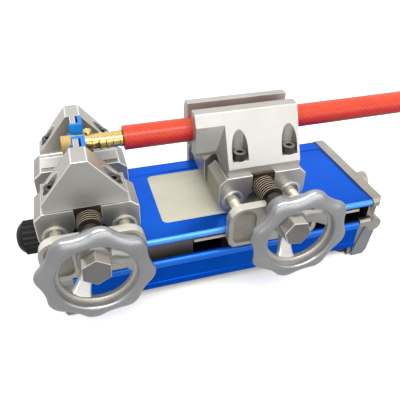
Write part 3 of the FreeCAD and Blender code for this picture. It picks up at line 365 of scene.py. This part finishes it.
def cleaned(node):
    """a copy of a node's mesh as flat faces instead of triangles"""
    bm = bmesh.new()
    bm.from_mesh(NODES[node].data)
    for layer in list(bm.loops.layers.uv):
        bm.loops.layers.uv.remove(layer)
    bmesh.ops.remove_doubles(bm, verts=bm.verts, dist=2e-6)
    bmesh.ops.dissolve_limit(bm, angle_limit=math.radians(0.6), use_dissolve_boundaries=False, verts=bm.verts,
                             edges=bm.edges)
    bmesh.ops.dissolve_degenerate(bm, dist=2e-6, edges=bm.edges)
    return bm


def marked(bm, angle):
    """outer edges get a bevel weight, inner corners stay sharp"""
    layer = bm.edges.layers.float.new("bevel_weight_edge")
    for e in bm.edges:
        if len(e.link_faces) != 2 or e.calc_face_angle(0.0) < math.radians(angle):
            continue
        if e.is_convex:
            e[layer] = 1.0
        else:
            e.smooth = False
    return bm


def soften(node, mat, width=0.0006, segments=2, angle=15.0, body=None, sharp=0, clamp=False, edge=None, pick=None):
    """stands for a CAD node: the same shape with its sharp edges broken by a small radius"""
    bm = marked(cleaned(node), angle)
    me = bpy.data.meshes.new(node + "_soft")
    bm.to_mesh(me)
    bm.free()
    tmp = bpy.data.objects.new("tmp", me)
    bpy.context.scene.collection.objects.link(tmp)
    b = tmp.modifiers.new("edge", "BEVEL")
    b.width = width
    b.segments = segments
    b.limit_method = "WEIGHT"
    b.use_clamp_overlap = clamp
    b.harden_normals = False
    b.miter_outer = "MITER_ARC"
    mats = [mat]
    # the bevel faces take the edge material, which paints a highlight along the edges
    if edge:
        mats.append(edge)
        tmp.data.materials.append(mat)
        tmp.data.materials.append(edge)
        b.material = 1
    out = applied(tmp)
    bpy.data.objects.remove(tmp)
    for other, test in pick or ():
        mats.append(other)
        for f in out.polygons:
            c = f.center
            if test(c.x / MM - SX, c.y / MM - SY, c.z / MM, f.normal):
                f.material_index = len(mats) - 1
    o = new_object(node + "_fine", out, mats, body or NODES[node]["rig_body"], [node], sharp)
    even_normals(o)
    return o


def grid_mesh(name, rings, close_u=True, close_v=True, cap=False, mats=None):
    """quads through rings of points; every ring has the same count"""
    bm = bmesh.new()
    vs = [[bm.verts.new(p) for p in ring] for ring in rings]
    n, k = len(vs), len(vs[0])
    for i in range(n if close_u else n - 1):
        for j in range(k if close_v else k - 1):
            a, b = vs[i][j], vs[i][(j + 1) % k]
            c, d = vs[(i + 1) % n][(j + 1) % k], vs[(i + 1) % n][j]
            f = bm.faces.new((a, b, c, d))
            if mats:
                f.material_index = mats(i, j)
    if cap and not close_u:
        bm.faces.new(vs[0])
        bm.faces.new(list(reversed(vs[-1])))
    bmesh.ops.recalc_face_normals(bm, faces=bm.faces)
    me = bpy.data.meshes.new(name)
    bm.to_mesh(me)
    bm.free()
    return me


def lathe(name, prof, axis, centre, seg=48, mats=None, closed=True):
    """turns a profile of (position along the axis, radius), mm, round the axis"""
    rings = []
    for k in range(seg):
        a = TAU * k / seg
        c, s = math.cos(a), math.sin(a)
        ring = []
        for t, r in prof:
            if axis == "y":
                ring.append(P(centre[0] + r * c, centre[1] + t, centre[2] + r * s))
            elif axis == "x":
                ring.append(P(centre[0] + t, centre[1] + r * c, centre[2] + r * s))
            else:
                ring.append(P(centre[0] + r * c, centre[1] + r * s, centre[2] + t))
        rings.append(ring)
    return grid_mesh(name, rings, True, closed, False, mats)


def rounded(prof, r, seg=3, closed=True):
    """rounds the corners of a profile by r"""
    n = len(prof)
    out = []
    for i, p in enumerate(prof):
        if not closed and i in (0, n - 1):
            out.append(p)
            continue
        p0, p1, p2 = Vector(prof[i - 1]), Vector(p), Vector(prof[(i + 1) % n])
        u, w = (p0 - p1), (p2 - p1)
        lu, lw = u.length, w.length
        if lu < 1e-6 or lw < 1e-6:
            continue
        u.normalize()
        w.normalize()
        rr = min(r, 0.45 * lu, 0.45 * lw)
        for k in range(seg + 1):
            t = k / seg
            q = (p1 + u * rr) * (1 - t) ** 2 + p1 * 2 * t * (1 - t) + (p1 + w * rr) * t ** 2
            out.append((q.x, q.y))
    return out


# ---------------------------------------------------------------- hose
ROUTE = [(-0.0712, 0.01925, 0.1302), (0.112, 0.01925, 0.1302), (0.204, 0.01985, 0.1309)]
cu = bpy.data.curves.new("hose_line", "CURVE")
cu.dimensions = "3D"
cu.resolution_u = 24
sp = cu.splines.new("NURBS")
sp.points.add(len(ROUTE) - 1)
for pt, co in zip(sp.points, ROUTE):
    pt.co = (*co, 1.0)
sp.order_u = 3
sp.use_endpoint_u = True
co = bpy.data.objects.new("hose_line", cu)
bpy.context.scene.collection.objects.link(co)
line = bpy.data.meshes.new_from_object(co)
path = [v.co.copy() for v in line.vertices]
bpy.data.objects.remove(co)


def hose(path):
    steps = [0.0]
    for a, b in zip(path[:-1], path[1:]):
        steps.append(steps[-1] + (b - a).length)
    total = steps[-1]
    seg = 56
    prof = [(0, 7.1), (0, 7.3), (0, 9.45), (0.12, 9.75), (0.45, 9.9)]
    n_mid = len(path)
    rings, us = [], []

    def at(s):
        for i in range(len(steps) - 1):
            if s <= steps[i + 1] + 1e-9:
                t = (s - steps[i]) / (steps[i + 1] - steps[i])
                return path[i].lerp(path[i + 1], t), (path[i + 1] - path[i]).normalized()
        return path[-1], (path[-1] - path[-2]).normalized()

    stations = [(0.0, 7.1), (0.0, 9.45), (0.00012, 9.75), (0.00045, 9.9)]
    k = 60
    stations += [(0.001 + (total - 0.002) * i / k, 9.9) for i in range(k + 1)]
    stations += [(total - 0.00045, 9.9), (total - 0.00012, 9.75), (total, 9.45), (total, 7.1)]
    stations += [(total * (1 - i / 12), 7.1) for i in range(1, 12)]
    for s, r in stations:
        c, d = at(s)
        side = d.cross(Vector((0, 0, 1))).normalized()
        top = side.cross(d)
        rings.append([c + (side * math.cos(TAU * j / seg) + top * math.sin(TAU * j / seg)) * r * MM for j in range(seg)])
        us.append(s / MM)
    nouter = 4 + k + 1 + 4
    me = grid_mesh("sample_hose_fine", rings, True, True, False, lambda i, j: 1 if i >= nouter - 1 or i == len(rings) - 1 else 0)
    uvl = me.uv_layers.new(name="along")
    for poly in me.polygons:
        idx = [me.loops[l].vertex_index for l in poly.loop_indices]
        js = [q % seg for q in idx]
        wrap = 0 in js and seg - 1 in js
        for l, q in zip(poly.loop_indices, idx):
            j = q % seg
            uvl.data[l].uv = (us[q // seg], (j + (seg if wrap and j == 0 else 0)) / seg)
    return me


ho = new_object("sample_hose_fine", hose(path), [M_HOSE, M_HOSE_IN], "carriage", ["sample_hose"])


# ---------------------------------------------------------------- handwheels
# rim section: share of the way from the inner edge to the outline, and y
RIM = [(0.0, -99.8), (0.0, -102.0), (0.0, -107.2), (0.012, -108.4), (0.05, -109.3), (0.11, -109.8), (0.20, -109.98),
       (0.34, -109.85), (0.48, -109.5), (0.60, -109.1), (0.72, -108.6), (0.83, -107.9), (0.92, -107.1), (0.975, -106.2),
       (1.0, -105.1), (0.985, -104.0), (0.94, -102.9), (0.86, -101.8), (0.74, -100.8), (0.55, -100.0), (0.25, -99.65),
       (0.05, -99.6)]


def handwheel(name, node, body, xc, spokes, lobes):
    """cast wheel: lobed rim, stepped inner ring, three dished spokes, hub"""
    tip, val = 39.6, 36.0
    R1 = 11.0
    c1 = tip - R1
    h = math.radians(22.5)
    A = val * val + c1 * c1 - 2 * c1 * val * math.cos(h) - R1 * R1
    B = 2 * R1 - 2 * val + 2 * c1 * math.cos(h)
    R2 = A / B
    c2 = val + R2

    def outer(a):
        """outline radius at an angle from a lobe"""
        a = abs((a + h) % (2 * h) - h)
        # convex arc about the lobe's centre, then concave arc about the valley's centre
        s = c1 * math.sin(a)
        r = c1 * math.cos(a) + math.sqrt(max(R1 * R1 - s * s, 0)) if abs(s) < R1 else 0
        b = h - a
        s2 = c2 * math.sin(b)
        rv = c2 * math.cos(b) - math.sqrt(max(R2 * R2 - s2 * s2, 0)) if abs(s2) < R2 else 1e9
        # tangent point angle
        tx = c1 + R1 * (c2 * math.cos(h) - c1) / math.hypot(c2 * math.cos(h) - c1, c2 * math.sin(h))
        ty = R1 * c2 * math.sin(h) / math.hypot(c2 * math.cos(h) - c1, c2 * math.sin(h))
        return r if a < math.atan2(ty, tx) else rv

    seg = 144
    rings = []
    for k in range(seg):
        ang = TAU * k / seg
        ro = outer(ang - math.radians(lobes))
        sec = [(26.5 + f * (ro - 26.5), y) for f, y in RIM]
        c, s = math.cos(ang), math.sin(ang)
        rings.append([P(xc + r * c, YC + y, ZS + r * s) for r, y in sec])
    bm = bmesh.new()
    # the rim's inner edge (index 1) takes the lighter inner-ring material, painted light
    bm.from_mesh(grid_mesh("rim", rings, mats=lambda i, j: 1 if j < 2 or j > 18 else 0))
    # stepped inner ring
    ledge = rounded([(24.4, -99.4), (24.4, -103.4), (27.6, -104.4), (27.6, -99.4)], 0.7)
    lr = []
    for k in range(96):
        ang = TAU * k / 96
        c, s = math.cos(ang), math.sin(ang)
        lr.append([P(xc + r * c, YC + y, ZS + r * s) for r, y in ledge])
    tmp = grid_mesh("ledge", lr, mats=lambda i, j: 1)
    bm.from_mesh(tmp)
    hub = rounded([(6.4, -71.0), (6.4, -93.2), (12.4, -93.2), (12.5, -71.0)], 0.9)
    lr = []
    for k in range(64):
        ang = TAU * k / 64
        c, s = math.cos(ang), math.sin(ang)
        lr.append([P(xc + r * c, YC + y, ZS + r * s) for r, y in hub])
    bm.from_mesh(grid_mesh("hub", lr))
    # spokes: (radius, half width, front y, thickness)
    st = [(7.5, 4.4, -92.9, 6.5), (11.5, 4.5, -93.2, 6.5), (14.5, 4.7, -94.2, 6.2), (18.0, 5.0, -96.6, 5.8),
          (21.5, 5.9, -99.6, 5.4), (24.0, 7.4, -101.9, 4.6), (25.6, 9.0, -103.0, 4.0), (26.8, 10.0, -103.6, 3.4)]
    for q in range(3):
        ang = math.radians(spokes + 120 * q)
        c, s = math.cos(ang), math.sin(ang)
        srings = []
        for r, hw, yf, th in st:
            sec = rounded([(-hw, yf), (hw, yf), (hw, yf + th), (-hw, yf + th)], 1.5, 3)
            srings.append([P(xc + r * c - v * s, YC + y, ZS + r * s + v * c) for v, y in sec])
        bm.from_mesh(grid_mesh("spoke", srings, False, True, True, lambda i, j: 2))
    me = bpy.data.meshes.new(name)
    bmesh.ops.recalc_face_normals(bm, faces=bm.faces)
    bm.to_mesh(me)
    bm.free()
    return new_object(name, me, [M_WHEEL, M_WHEEL_IN_LIT, M_SPOKE], body, [node], 50)


handwheel("fitting_handwheel_fine", "fitting_handwheel", "fitting_wheel", XL, 239.0, 34.5)
handwheel("hose_handwheel_fine", "hose_handwheel", "hose_wheel", XH, 257.5, 32.5)


# ---------------------------------------------------------------- vise screws with real threads
def helix(xc, y0, y1, hand, pitch=2.54, r_top=9.5, r_root=7.9, seg=48, crest=0.10):
    """one threaded length as a helical strip; faces: 0 flanks and root, 1 crest"""
    turns = (y1 - y0) / pitch
    n = int(turns * seg)
    prof = [(-0.5, r_root), (-0.42, r_root), (-crest, r_top), (crest, r_top), (0.42, r_root)]
    rings = []
    for i in range(n + 1):
        a = hand * TAU * i / seg
        c, s = math.cos(a), math.sin(a)
        y = y0 + pitch * i / seg
        ring = []
        for t, r in prof:
            yy = min(max(y + t * pitch, y0), y1)
            # run-out at both ends
            e = min(1.0, (y - y0) / (pitch * 0.25), (y1 - y) / (pitch * 0.25))
            rr = r_root + (r - r_root) * max(e, 0.0)
            ring.append((xc + rr * c, yy, rr * s))
        rings.append(ring)
    return rings


def vise_screw(name, node, body, xc):
    bm = bmesh.new()

    def add(me):
        bm.from_mesh(me)

    # flanks and roots take the painted-shade material, the crests (index 1) the painted highlight
    for y0, y1, hand in ((-58.3, -4.0, -1), (4.0, 58.3, 1)):
        rings = [[P(x, YC + y, ZS + z) for x, y, z in ring] for ring in helix(xc, y0, y1, hand)]
        add(grid_mesh("t", rings, False, False, False, lambda i, j: 1 if j == 2 else 0))
    # fine thread on the neck behind the wheel
    rings = [[P(x, YC + y, ZS + z) for x, y, z in ring] for ring in helix(xc, -71.0, -58.4, -1, 1.3, 7.0, 6.5, 40, 0.12)]
    add(grid_mesh("t", rings, False, False, False, lambda i, j: 3 if j == 2 else 0))
    core = [(-101.0, 0.01), (-101.0, 5.6), (-100.6, 6.0), (-93.0, 6.0), (-93.0, 6.3), (-71.2, 6.3), (-71.2, 6.5), (-59.0, 6.5),
            (-58.4, 7.9), (-4.2, 7.9), (-3.4, 8.6), (3.4, 8.6), (4.2, 7.9), (57.7, 7.9), (58.4, 7.0), (71.0, 7.0),
            (71.5, 6.5), (71.5, 0.01)]
    add(lathe("core", core, "y", (xc, YC, ZS), 48, lambda i, j: 2 if j < 7 or j > 12 else 0, closed=False))
    me = bpy.data.meshes.new(name)
    bmesh.ops.recalc_face_normals(bm, faces=bm.faces)
    bm.to_mesh(me)
    bm.free()
    return new_object(name, me, [M_THREAD_ROOT_SHADE, M_CREST_HIGHLIGHT, M_RODS, M_BLOCK], body, [node], 50)


vise_screw("fitting_vise_screw_fine", "fitting_vise_screw", "fitting_wheel", XL)
vise_screw("hose_vise_screw_fine", "hose_vise_screw", "hose_wheel", XH)


# ---------------------------------------------------------------- barbed fitting
def fitting():
    za = ZA
    prof = [(-121.0, 5.7), (-121.0, 6.9), (-120.5, 7.35), (-103.2, 7.35), (-103.0, 7.5), (-103.0, 7.9), (-102.6, 8.3),
            (-98.2, 8.3), (-97.7, 7.8), (-97.7, 6.2), (-97.2, 6.0)]
    for k in range(4):
        x = -92.2 + 5.3 * k
        prof += [(x - 0.35, 6.0), (x, 6.15), (x + 0.08, 6.72), (x + 0.25, 6.8), (x + 0.6, 6.78), (x + 4.4, 6.05), (x + 4.8, 6.0)]
    prof += [(-73.95, 5.5), (-73.9, 5.3), (-73.9, 4.5), (-74.1, 4.3), (-105.0, 4.3), (-106.0, 5.6), (-120.8, 5.6)]
    bm = bmesh.new()
    bm.from_mesh(lathe("f", prof, "x", (SX, YC, za), 64))
    boss = [(6.5, 0.01), (6.5, 3.3), (10.2, 3.3), (10.7, 2.9), (10.7, 1.5), (10.2, 1.1), (9.8, 0.01)]
    bm.from_mesh(lathe("b", [(t, r) for t, r in boss], "z", (-100.4 + SX, YC + 0.2, za), 40, closed=False))
    me = bpy.data.meshes.new("barb_fitting_fine")
    bmesh.ops.recalc_face_normals(bm, faces=bm.faces)
    bm.to_mesh(me)
    bm.free()
    return new_object("barb_fitting_fine", me, [M_BRASS], "frame", ["barb_fitting"], 42)


fitting()

# ---------------------------------------------------------------- softened CAD pieces
def recess(x, y, z, n):
    """floor and walls of the two shallow panels of a yoke, painted darker and browner as painted shade"""
    return 15.5 < abs(x - XL + SX) < 36.1 and 54.7 < z < 87.5 and 63.3 < abs(y) < 65.7 or \
        15.5 < abs(x - XH + SX) < 36.1 and 54.7 < z < 87.5 and 63.3 < abs(y) < 65.7


def foot_face(x, y, z, n):
    """the milled face of a rear jaw's foot that looks to the front, painted bright as painted light"""
    return n.y < -0.9 and y > 0 and z < 112.0


def channel_inside(x, y, z, n):
    """the unlit inner walls and floor of the base"""
    return abs(y) < 52.8 and z < 41.0


def base_bead(x, y, z, n):
    """rounded upper edge of the base, painted lighter where it catches the light, a painted highlight"""
    return abs(y) > 54.0 and z > 35.4


def deck_bead(x, y, z, n):
    """rounded long edges of the deck, painted lighter as a painted highlight"""
    return abs(y) > 54.5 and n.z > -0.3 and abs(n.x) < 0.5


def cap_inside(x, y, z, n):
    """shaded inner faces of an end cap, behind the gap and under the bar"""
    return abs(x) < 140.2 and z < 59.5 and abs(y) < 53.5


def cap_leg(x, y, z, n):
    """lower part of an end cap, in a darker, bluer grey"""
    return z < 33.0


def cap_foot(x, y, z, n):
    """foot of the left cap, just above the bench, painted dark as painted shade"""
    return z < 9.0


def yoke_top(x, y, z, n):
    """upper edge of a yoke plate, painted bright as painted light from above"""
    return n.z > 0.5 and z > 80.0


def gable_inside(x, y, z, n):
    """inner face of the rear gable, in the shade of the fitting"""
    return n.y < -0.9 and 20.0 < y < 27.0 and z > 112.0


def nose_under(x, y, z, n):
    """slanted web between the jaw's nose and its body, in painted shade"""
    return n.x < -0.6 and abs(n.y) > 0.3 and n.z < 0.5


def block_slope(x, y, z, n):
    """slanted left shoulder of a slide block and the side under it, painted darker and browner as painted shade"""
    return n.x < -0.5 and z > 60.0


def nut_side(x, y, z, n):
    """the six flats, painted lighter and warmer as a painted reflection"""
    return abs(n.y) < 0.2


def screw_side(x, y, z, n):
    """side of a socket head and the walls of its hex, kept black below the painted-light tops"""
    return abs(n.z) < 0.5


SOFT = [
    ("fitting_jaw_front", M_MACH, "machined_alloy", 0.6, M_EDGE_HIGHLIGHT), ("fitting_jaw_rear", M_MACH, "machined_alloy", 0.6, M_EDGE_HIGHLIGHT),
    ("hose_jaw_front", M_MACH, "machined_alloy", 0.5, M_SOFTEDGE_HIGHLIGHT), ("hose_jaw_rear", M_MACH, "machined_alloy", 0.5, M_SOFTEDGE_HIGHLIGHT),
    ("fitting_slide_front", M_SLIDE_SHADE, "machined_alloy", 0.8, M_EDGE_HIGHLIGHT), ("fitting_slide_rear", M_SLIDE_SHADE, "machined_alloy", 0.8, M_EDGE_HIGHLIGHT),
    ("hose_slide_front", M_MACH, "machined_alloy", 0.6, M_EDGE_HIGHLIGHT), ("hose_slide_rear", M_MACH, "machined_alloy", 0.6, M_EDGE_HIGHLIGHT),
    ("fitting_yoke_front", M_CAST, "cast_alloy", 0.7, None), ("fitting_yoke_rear", M_CAST, "cast_alloy", 0.7, None),
    ("hose_yoke_front", M_CAST, "cast_alloy", 0.7, None), ("hose_yoke_rear", M_CAST, "cast_alloy", 0.7, None),
    ("end_cap_left", M_CAP, "cast_alloy", 0.5, None), ("end_cap_right", M_CAP, "cast_alloy", 0.5, None),
    ("fitting_insert_front", M_NYLON, "blue_plastic", 0.15, None), ("fitting_insert_rear", M_NYLON, "blue_plastic", 0.15, None),
    ("fitting_wheel_nut", M_HEX, "bright_steel", 0.5, M_EDGE_HIGHLIGHT), ("hose_wheel_nut", M_HEX, "bright_steel", 0.5, M_EDGE_HIGHLIGHT),
    ("fitting_collars", M_BLACK, "black_steel", 0.2, None), ("hose_collars", M_BLACK, "black_steel", 0.2, None),
    ("fitting_bushings_front", M_BUSH, "bright_steel", 0.25, None), ("fitting_bushings_rear", M_BUSH, "bright_steel", 0.25, None),
    ("hose_bushings_front", M_BUSH, "bright_steel", 0.25, None), ("hose_bushings_rear", M_BUSH, "bright_steel", 0.25, None),
    ("mount_block", M_BLOCK, "machined_alloy", 0.5, None), ("carriage_block", M_BLOCK, "machined_alloy", 0.5, None),
    ("fitting_jaw_screws_front", M_BLACK, "black_steel", 0.3, None), ("fitting_jaw_screws_rear", M_BLACK, "black_steel", 0.3, None),
    ("hose_jaw_screws_front", M_SCREW_TOPS_LIT, "black_steel", 0.3, None), ("hose_jaw_screws_rear", M_SCREW_TOPS_LIT, "black_steel", 0.3, None),
    ("rubber_feet", M_RUBBER, "black_rubber", 0.5, None), ("drive_cap", M_DOME, "black_rubber", 0.4, None),
]
PICKS = {
    "fitting_jaw_rear": [(M_FOOT_FACE_LIT, foot_face), (M_WARM, gable_inside)],
    "hose_jaw_front": [(M_WARM, nose_under)], "hose_jaw_rear": [(M_WARM, nose_under)],
    "hose_jaw_screws_front": [(M_BLACK, screw_side)], "hose_jaw_screws_rear": [(M_BLACK, screw_side)],
    "hose_slide_front": [(M_SIDE_SHADE, block_slope)], "hose_slide_rear": [(M_SIDE_SHADE, block_slope)],
    "end_cap_left": [(M_LEG, cap_leg), (M_SHADE, cap_inside), (M_SHADE, cap_foot)],
}
FAMILIES = [("yoke", (M_RECESS_SHADE, recess)), ("yoke", (M_YOKE_TOP_LIT, yoke_top)), ("end_cap", (M_LEG, cap_leg)), ("end_cap", (M_SHADE, cap_inside)),
            ("wheel_nut", (M_HEX_FLATS_REFLECTION, nut_side))]
for node, mat, sl, w, edge in SOFT:
    pick = PICKS.get(node) or [p for key, p in FAMILIES if key in node]
    soften(node, mat, w * MM, clamp=w < 0.6 or "yoke" in node, edge=edge, pick=pick)

PLAIN = {
    "base_channel": M_BLUE, "deck_plate": M_DECK, "label_plate": M_LABEL, "guide_rails": M_RAIL, "rail_screws": M_BLACK,
    "deck_screws": M_BLACK, "end_cap_screws": M_BLACK, "foot_screws": M_BLACK, "drive_bushings": M_BRONZE,
    "fitting_yoke_screws": M_BLACK, "hose_yoke_screws": M_BLACK, "fitting_rods": M_RODS, "hose_rods": M_RODS,
    "drive_screw": M_BRIGHT, "drive_nut": M_BRONZE, "fitting_nut_front": M_BRONZE, "fitting_nut_rear": M_BRONZE,
    "hose_nut_front": M_BRONZE, "hose_nut_rear": M_BRONZE,
}
for node, mat in PLAIN.items():
    me = NODES[node].data
    me.materials.clear()
    me.materials.append(mat)
# the upper part of the guide rails, under the deck, takes the black screw material as painted shade
for node, mats in (("base_channel", [(M_INSIDE, channel_inside), (M_BASE_BEAD_HIGHLIGHT, base_bead)]), ("deck_plate", [(M_DECK_BEAD_HIGHLIGHT, deck_bead)]),
                   ("guide_rails", [(M_BLACK, lambda x, y, z, n: z > 54.05)])):
    me = NODES[node].data
    for mat, test in mats:
        me.materials.append(mat)
    for f in me.polygons:
        c = f.center
        f.material_index = 0
        for i, (mat, test) in enumerate(mats):
            if test(c.x / MM - SX, c.y / MM - SY, c.z / MM, f.normal):
                f.material_index = i + 1

# ---------------------------------------------------------------- floor and light
bpy.ops.mesh.primitive_plane_add(size=8.0, location=(0, 0, -0.0002))
floor = bpy.context.object
floor.name = "floor"
fm = Nodes("floor_paper")
fm.bsdf.inputs["Base Color"].default_value = (0.88, 0.88, 0.88, 1)
fm.bsdf.inputs["Emission Color"].default_value = (1, 1, 1, 1)
fm.bsdf.inputs["Emission Strength"].default_value = 0.15
fm.bsdf.inputs["Roughness"].default_value = 0.85
fm.bsdf.inputs["Specular IOR Level"].default_value = 0.1
floor.data.materials.append(fm.mat)
# the metals mirror a dimmer room below, not the paper
floor.visible_glossy = False

world = bpy.data.worlds.new("studio")
bpy.context.scene.world = world
world.use_nodes = True
wt = world.node_tree
bg = wt.nodes["Background"]
tc = wt.nodes.new("ShaderNodeTexCoord")
sx = wt.nodes.new("ShaderNodeSeparateXYZ")
wt.links.new(tc.outputs["Generated"], sx.inputs[0])
# brighter towards the back and overhead, dimmer at the front and at the horizon
add = wt.nodes.new("ShaderNodeMath")
add.operation = "MULTIPLY_ADD"
wt.links.new(sx.outputs["Y"], add.inputs[0])
add.inputs[1].default_value = 0.45
wt.links.new(sx.outputs["Z"], add.inputs[2])
wr = wt.nodes.new("ShaderNodeMapRange")
wt.links.new(add.outputs[0], wr.inputs["Value"])
wr.inputs["From Min"].default_value = -0.3
wr.inputs["From Max"].default_value = 1.1
wr.inputs["To Min"].default_value = 0.64
wr.inputs["To Max"].default_value = 1.50
wt.links.new(wr.outputs[0], bg.inputs["Strength"])
bg.inputs["Color"].default_value = (1.0, 0.995, 0.98, 1)


def area(name, loc, target, size, power, colour=(1, 1, 1)):
    ld = bpy.data.lights.new(name, "AREA")
    ld.shape = "RECTANGLE"
    ld.size, ld.size_y = size
    ld.energy = power
    ld.color = colour
    o = bpy.data.objects.new(name, ld)
    bpy.context.scene.collection.objects.link(o)
    o.location = loc
    o.rotation_euler = (Vector(target) - Vector(loc)).to_track_quat("-Z", "Y").to_euler()
    return o


# radiance of a panel = power / (pi * area)
area("front_soft", (0.45, -1.7, 0.38), (0, 0, 0.12), (2.8, 0.85), 11.5)
area("top_soft", (-0.05, -0.85, 1.30), (0, 0, 0.05), (1.5, 0.55), 20.0)
area("strip", (0.35, -1.35, 0.66), (0.1, 0, 0.12), (2.6, 0.03), 2.6)
bpy.context.scene.view_settings.view_transform = "Standard"
